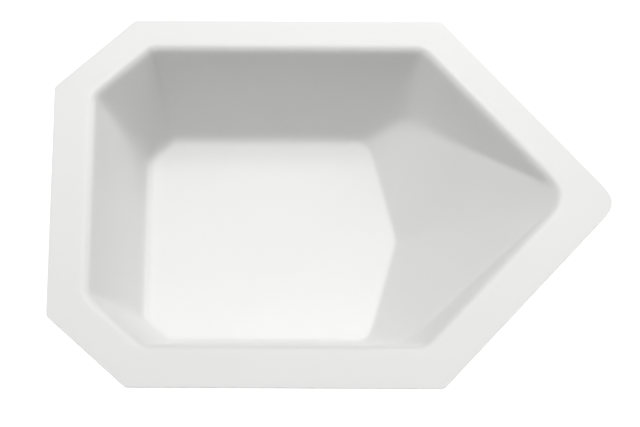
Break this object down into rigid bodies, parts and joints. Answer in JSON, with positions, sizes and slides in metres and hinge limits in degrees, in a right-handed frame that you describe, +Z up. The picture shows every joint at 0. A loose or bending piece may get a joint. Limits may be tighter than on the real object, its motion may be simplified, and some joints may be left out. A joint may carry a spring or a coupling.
{
  "type": "weighing boat",
  "caption": "Shallow white plastic weighing boat with a flat flange, leaning walls, cut rear corners and a pointed pouring spout.",
  "frame": {"origin": "on the surface the boat stands on, under the middle of the flange's outline", "axes": "+X towards the spout's tip, +Y across the boat towards the narrower flange, +Z up out of the pocket"},
  "size_m": [0.089, 0.0674, 0.0149],
  "materials": {
    "sheet": "smooth satin white"
  },
  "bodies": {
    "root": {"boat": "sheet"}
  },
  "joints": []
}
